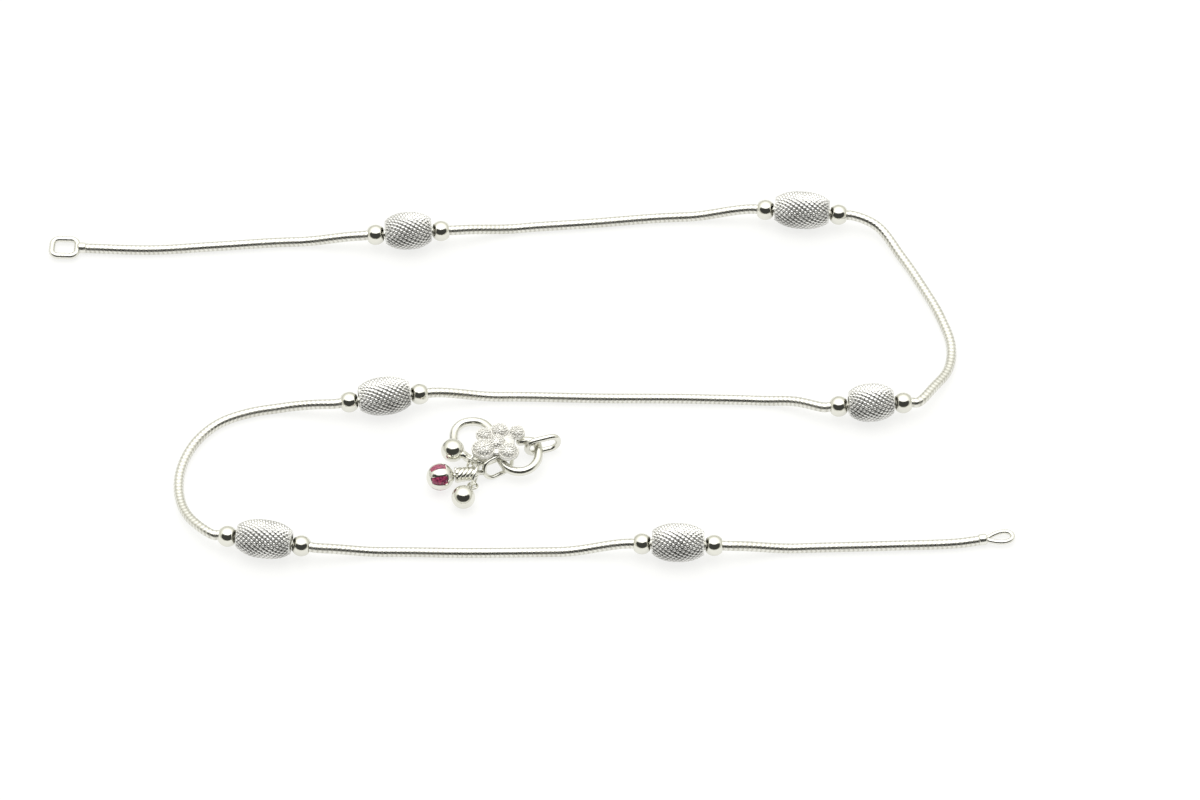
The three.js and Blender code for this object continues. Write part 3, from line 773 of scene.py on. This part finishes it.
for bead, (x, y, heading, length) in BEADS.items():
    backwards = math.cos(math.radians(heading)) < 0
    for side in (-1, 1):
        word = "right" if (side < 0) == backwards else "left"
        centre = along_bead(bead, side * (length / 2 + BALL_SEAT), CHAIN_HEIGHT_IN_BEAD)
        at = placing(*centre, turn=heading)
        finish_piece(moved(drilled_ball(), at), f"polished_ball_{bead}_{word}",
                     f"ball_{bead}_{word}", "polished_ball", polished_silver)

# %% [markdown]
# ## S hook
# The hook is one stout wire bent into an S. Its left loop is closed behind the flower, and its
# right loop ends in a free tip that the anklet's ring slips over. It could be put together from
# arcs, but a wire that is bent by hand has no exact ones, so it is a smooth path through points.

# %% Hook wire
HOOK_PATH = [
    (-10.20, -8.45, 1.20), (-11.50, -8.95, 1.10), (-12.50, -8.70, 0.95), (-13.50, -7.75, 0.75),
    (-14.30, -6.50, 0.60), (-14.55, -5.35, 0.50), (-14.37, -4.22, 0.50), (-13.67, -3.50, 0.55),
    (-12.59, -3.35, 0.65), (-11.63, -3.74, 0.80), (-10.85, -4.80, 0.95), (-10.40, -6.50, 1.10),
    (-9.95, -8.40, 1.20), (-9.40, -9.55, 1.20), (-8.60, -10.15, 1.20), (-7.70, -10.25, 1.22),
    (-6.85, -9.85, 1.24), (-6.20, -8.85, 1.25), (-6.10, -7.65, 1.25), (-6.32, -6.65, 1.25),
    (-7.15, -6.37, 1.25), (-7.95, -6.42, 1.25),
]
HOOK_RADIUS, HOOK_STEPS, HOOK_SIDES = 0.44, 220, 24
hook_corners = [Vector(corner) for corner in HOOK_PATH]
hook_wire = wire(smooth_path(hook_corners), HOOK_RADIUS, HOOK_STEPS, HOOK_SIDES)
print("hook wire", len(hook_wire.faces), "faces")

# %% [markdown]
# ## Cast flower
# The flower is cast and soldered on a short boss: five round petals and a middle, each a low dome
# with a plain rim and a field of fine grains, as if tiny shot were melted on. A noise texture could
# roughen a dome, but grains catch the light one by one. So each is a small icosphere, sunk a little
# into its dome, and they are set in a sunflower's order, which fills a circle evenly without rows.

# %% Petal
PLATE = 0.35
PETAL_RIM, PETAL_RISE = 0.14, 0.56
DOME_ROWS = 12
GRAINS_PER_AREA = 46
GRAIN_FIELD, GRAIN_SINK = 0.96, 0.02
GRAIN_SIZE, GRAIN_SPREAD = 0.11, 0.05
GOLDEN_TURN = 2.39996
UP_FROM_X = Matrix.Rotation(-math.pi / 2, 4, "Y")  # stands a piece that is turned about X upright


def petal(radius, seed):
    """A low dome with a rounded rim, its top set with grains."""
    inner = radius - PETAL_RIM - 0.01
    section = [(0, 0), (radius - 0.06, 0), (radius, 0.06), (radius, PLATE),
               (radius - 0.03, PLATE + 0.08), (radius - PETAL_RIM / 2, PLATE + 0.13),
               (radius - PETAL_RIM, PLATE + 0.08)]
    for row in range(DOME_ROWS + 1):
        angle = row / DOME_ROWS * math.pi / 2
        section.append((inner * math.cos(angle), PLATE + PETAL_RISE * radius * math.sin(angle)))
    shape = moved(turned(section, 36), UP_FROM_X)
    grains = round(GRAINS_PER_AREA * radius * radius)
    for index in range(grains):
        reach = inner * GRAIN_FIELD * math.sqrt((index + 0.5) / grains)
        turn = index * GOLDEN_TURN + seed
        height = PLATE + PETAL_RISE * radius * math.sqrt(max(1 - (reach / inner) ** 2, 0))
        size = GRAIN_SIZE + GRAIN_SPREAD * noise.noise(Vector((index * 1.7, seed, 0)))
        spot = Vector((reach * math.cos(turn), reach * math.sin(turn), height - GRAIN_SINK))
        bmesh.ops.create_icosphere(shape, subdivisions=2, radius=size,
                                   matrix=Matrix.Translation(spot))
    return shape


# %% Flower on the hook
FLOWER = Vector((-10.15, -7.4, 1.45))
BOSS_RADIUS, BOSS_HEIGHT, BOSS_OVERLAP = 1.0, 0.85, 0.1
PLATE_RADIUS, PLATE_EDGE = 1.7, 0.08
PETALS = [  # centre x, y from the flower's middle, and radius
    (-1.36, -1.08, 1.187), (1.1, -1.4, 1.05), (-1.32, 0.73, 0.84), (0.17, 1.22, 0.924),
    (1.92, 1.07, 0.81), (-0.05, -0.2, 0.924),
]
SEED_STEP = 1.3
boss_top = BOSS_HEIGHT + BOSS_OVERLAP
boss_section = [(0, 0), (BOSS_RADIUS, 0), (BOSS_RADIUS, boss_top), (0, boss_top)]
boss = moved(turned(boss_section, 32), UP_FROM_X)
plate_rim = PLATE_RADIUS - PLATE_EDGE
plate_section = [(0, 0), (plate_rim, 0), (PLATE_RADIUS, PLATE_EDGE),
                 (PLATE_RADIUS, PLATE - PLATE_EDGE), (plate_rim, PLATE), (0, PLATE)]
plate = moved(turned(plate_section, 48), placing(0, 0, BOSS_HEIGHT) @ UP_FROM_X)
petals = [moved(petal(radius, index * SEED_STEP), placing(x, y, BOSS_HEIGHT))
          for index, (x, y, radius) in enumerate(PETALS)]
flower = moved(joined(boss, plate, *petals), Matrix.Translation(FLOWER))
flower_faces = len(flower.faces)
whole_hook = joined(hook_wire, flower)
whole_hook.faces.ensure_lookup_table()
for face in whole_hook.faces[-flower_faces:]:
    face.material_index = 1
finish_piece(whole_hook, "s_hook_with_flower", "clasp_hook", "cast_flower", wire_silver,
             frosted_silver)

# %% [markdown]
# ## Link and jump rings
# Plain bent wire: an oval link in the hook's right loop, and two small jump rings for the bells. A
# torus would do for the round ones, but the link is oval, and one helper makes all three.

# %% Link and rings
LINK_LENGTH, LINK_WIDTH, LINK_WIRE = 3.85, 2.4, 0.3
LINK_PLACE = placing(-5.696, -6.851, 1.25, turn=17.4, tilt=90)
JUMP_RING_WIRE = 0.15
JUMP_RINGS = {  # place, and the ring's outer width
    1: (placing(-12.512, -8.803, 1.103, turn=50, tilt=94.8), 2.192),
    3: (placing(-12.307, -10.841, 1.234, turn=-106.8, tilt=84), 2.5),
}
link = moved(oval_ring(LINK_LENGTH, LINK_WIDTH, LINK_WIRE), LINK_PLACE)
finish_piece(link, "oval_link", "hook_link", "clasp_wire", wire_silver)
for number, (at, width) in JUMP_RINGS.items():
    ring = moved(oval_ring(width, width, JUMP_RING_WIRE, 56), at)
    finish_piece(ring, f"jump_ring_{number}", f"bell_ring_{number}", "clasp_wire", wire_silver)

# %% [markdown]
# ## Twisted stem
# A loop of thinner wire hangs on the hook. Its tail is the stem: bare for a jump ring, then bound
# in five strands of wire that are twisted like a rope and grow thicker towards the enamelled bell,
# which is pushed on the stem's end as on a peg. A Screw modifier could twist a section into a
# rope, but the strands' ends would stay flat. Each strand is its own wire here, with rounded tips.

# %% Stem
LOOP_LENGTH, LOOP_WIDTH, LOOP_WIRE = 3.6, 2.35, 0.23
STEM_RADIUS, STEM_LEAD, STEM_HEADING = 0.25, 0.88, 190.8
STRANDS, STRAND_RADIUS, STRAND_STEPS = 5, 0.29, 60
TWIST_RADIUS, TWIST_LENGTH, TWIST_TURNS, TWIST_TAPER = 0.8, 2.1, -0.8, 0.82
ENAMEL_RADIUS, ENAMEL_GAP, PEG_DEPTH = 1.38, 0.08, 1.0
loop_at = placing(-10.104, -9.437, 1.129, turn=32, tilt=64)
stem_start = loop_at @ Vector((LOOP_WIRE - LOOP_LENGTH / 2, 0, 0))
stem_reach = STEM_LEAD + TWIST_LENGTH + ENAMEL_GAP + ENAMEL_RADIUS
stem_pitch = math.degrees(math.asin((stem_start.z - ENAMEL_RADIUS) / stem_reach))
stem_at = placing(*stem_start, turn=STEM_HEADING, pitch=stem_pitch)
print("stem pitched by", round(stem_pitch, 1), "degrees, so that its bell touches the table")


# %% Strands
def strand(first_angle):
    """One strand of the rope, thicker at the bell's end."""
    path = []
    for step in range(STRAND_STEPS + 1):
        share = step / STRAND_STEPS
        angle = first_angle + 2 * math.pi * TWIST_TURNS * share
        reach = TWIST_RADIUS - STRAND_RADIUS
        along = STEM_LEAD + STRAND_RADIUS / 2 + share * (TWIST_LENGTH - STRAND_RADIUS)
        path.append(Vector((along, reach * math.cos(angle), reach * math.sin(angle))))
    shape = wire(path, STRAND_RADIUS, STRAND_STEPS)
    for vert in shape.verts:
        share = (vert.co.x - STEM_LEAD) / TWIST_LENGTH
        taper = TWIST_TAPER + (1 - TWIST_TAPER) * share
        end = min(vert.co.x, STEM_LEAD + TWIST_LENGTH)
        vert.co = (end, taper * vert.co.y, taper * vert.co.z)
    return shape


strands = [strand(2 * math.pi * number / STRANDS) for number in range(STRANDS)]
stem_length = stem_reach - ENAMEL_RADIUS + PEG_DEPTH
stem_chamfer = 0.08
core = turned([(0, 0), (STEM_RADIUS, 0), (STEM_RADIUS, stem_length - stem_chamfer),
               (STEM_RADIUS - stem_chamfer, stem_length), (0, stem_length)], 24)
stem = moved(joined(core, *strands), stem_at)
loop = moved(oval_ring(LOOP_LENGTH, LOOP_WIDTH, LOOP_WIRE), loop_at)
finish_piece(joined(stem, loop), "twisted_stem", "bell_stem", "clasp_wire", wire_silver)

# %% [markdown]
# ## Enamelled bell
# Five fields of pink enamel lie between silver bands that run from the bell's neck to its tip.
# Enamel is ground glass, melted into hollows in the metal, so it is cloudy and glossy, and lies a
# little below the bands. A mask in one material could paint the fields, but metal and glass shine
# differently, and the hollows should be real. So the faces of each field are inset and sunk, and
# get a material of their own, with a clear coat over a clouded colour.

# %% Pink enamel
ENAMEL_DEEP, ENAMEL_PALE = (0.16, 0.02, 0.065, 1), (0.5, 0.07, 0.16, 1)
CLOUD_SCALE, CLOUD_LIMITS = 4200.0, (0.4, 0.62)

enamel = bpy.data.materials.new("pink_enamel")
enamel.use_nodes = True
enamel_tree = enamel.node_tree
shader = enamel_tree.nodes["Principled BSDF"]
enamel_place = add_node(enamel_tree, "ShaderNodeTexCoord").outputs["Object"]
cloud = add_node(enamel_tree, "ShaderNodeTexNoise",
                 {"Vector": enamel_place, "Scale": CLOUD_SCALE, "Detail": 4.0,
                  "Roughness": 0.65}).outputs[0]
pink = blend(enamel_tree, ramp(enamel_tree, cloud, *CLOUD_LIMITS), ENAMEL_DEEP, ENAMEL_PALE)
enamel_tree.links.new(pink, shader.inputs["Base Color"])
ground = add_node(enamel_tree, "ShaderNodeBump",
                  {"Height": cloud, "Strength": 0.35, "Distance": FINE_RELIEF}).outputs[0]
enamel_tree.links.new(ground, shader.inputs["Normal"])
shader.inputs["Roughness"].default_value = 0.16
shader.inputs["Coat Weight"].default_value = 0.7
shader.inputs["Coat Roughness"].default_value = 0.05
print("enamel of", len(enamel_tree.nodes), "nodes")

# %% Enamelled ball
FIELDS, FIELD_SHARE, FIRST_FIELD = 5, 0.56, 0.042
FIELD_MIDDLE, FIELD_REACH = 0.16, 0.6  # along the bell, as shares of its radius
FIELD_RIM, FIELD_DEPTH = 0.045, 0.035
PEG_CLEARANCE = 0.08


def enamelled_ball(rows=36, around=80):
    """A ball with a blind bore for the stem's peg and sunk fields round it."""
    bore = STEM_RADIUS + PEG_CLEARANCE
    start = math.asin(bore / ENAMEL_RADIUS)
    section = []
    for row in range(rows + 1):
        angle = math.pi - (math.pi - start) * row / rows
        section.append((abs(ENAMEL_RADIUS * math.sin(angle)), -ENAMEL_RADIUS * math.cos(angle)))
    section[0] = (0, section[0][1])
    floor = PEG_DEPTH - ENAMEL_RADIUS + PEG_CLEARANCE
    shape = turned([*section, (bore, floor), (0, floor)], around)
    fields = []
    for face in shape.faces:
        spot = face.calc_center_median()
        part = (math.atan2(spot.z, spot.y) / (2 * math.pi) * FIELDS + FIRST_FIELD) % 1
        outside = spot.length > 0.97 * ENAMEL_RADIUS
        reach = abs(spot.x / ENAMEL_RADIUS - FIELD_MIDDLE)
        if outside and abs(part - 0.5) < FIELD_SHARE / 2 and reach < FIELD_REACH:
            fields.append(face)
    made = bmesh.ops.inset_region(shape, faces=fields, thickness=FIELD_RIM, depth=-FIELD_DEPTH,
                                  use_even_offset=True)
    for face in fields:
        face.material_index = 1
    print("enamel faces", len(fields), "rim faces", len(made["faces"]))
    return shape


enamel_centre = stem_at @ Vector((stem_reach, 0, 0))
bell_at = Matrix.Translation(enamel_centre) @ stem_at.to_3x3().to_4x4()
finish_piece(moved(enamelled_ball(), bell_at), "enamelled_bell", "bell_2", "enamel",
             polished_silver, enamel)

# %% [markdown]
# ## Plain bells
# Each of the two plain bells is a polished ball of two soldered cups, with a short neck and a wire
# eye. The seam could be a line in the material, but a mirror-like ball shows even a slight groove
# as a bend in its reflections, so the profile dips by a few thousandths of a millimetre there.

# %% Bell shape
BELL_RADIUS, BELL_ROWS, SEAM_DEPTH = 1.18, 40, 0.006
NECK_RADIUS, NECK_LENGTH, NECK_ROOT = 0.34, 0.45, 0.85 * BELL_RADIUS
EYE_RADIUS, EYE_WIRE = 0.44, 0.14


def plain_bell():
    """A bell at the origin whose neck and eye point along X."""
    section = []
    for row in range(BELL_ROWS + 1):
        angle = math.pi * row / BELL_ROWS
        radius = BELL_RADIUS - (SEAM_DEPTH if row == BELL_ROWS // 2 else 0)
        section.append((radius * math.sin(angle), -radius * math.cos(angle)))
    section[0], section[-1] = (0, -BELL_RADIUS), (0, BELL_RADIUS)
    tip = BELL_RADIUS + NECK_LENGTH
    neck = turned([(0, NECK_ROOT), (NECK_RADIUS + 0.12, NECK_ROOT + 0.06),
                   (NECK_RADIUS + 0.02, NECK_ROOT + 0.2), (0.8 * NECK_RADIUS, tip - 0.06),
                   (0.6 * NECK_RADIUS, tip), (0, tip)], 28)
    eye_width = 2 * (EYE_RADIUS + EYE_WIRE)
    eye = moved(oval_ring(eye_width, eye_width, EYE_WIRE, 40),
                placing(tip + EYE_RADIUS, 0, 0, tilt=90))
    return joined(turned(section, 64), neck, eye)


# %% Bells in their places
BELLS = {  # the middle of the eye, heading, roll, and how far the bell is lifted off the table
    1: (-12.776, -9.211, 1.89, 150.7, 40.7, 0.838),
    3: (-12.573, -11.71, 0.75, 243.2, 90, 0.024),
}
for number, (x, y, z, heading, roll, lift) in BELLS.items():
    reach = BELL_RADIUS + NECK_LENGTH + EYE_RADIUS
    drop = z - BELL_RADIUS - lift
    across = math.sqrt(reach ** 2 - drop ** 2)
    centre = placing(x, y, z - drop, turn=heading) @ Vector((across, 0, 0))
    slope = -math.degrees(math.asin(drop / reach))
    at = placing(*centre, turn=heading + 180, pitch=slope, tilt=roll)
    finish_piece(moved(plain_bell(), at), f"plain_bell_{number}", f"bell_{number}",
                 "polished_ball", polished_silver)
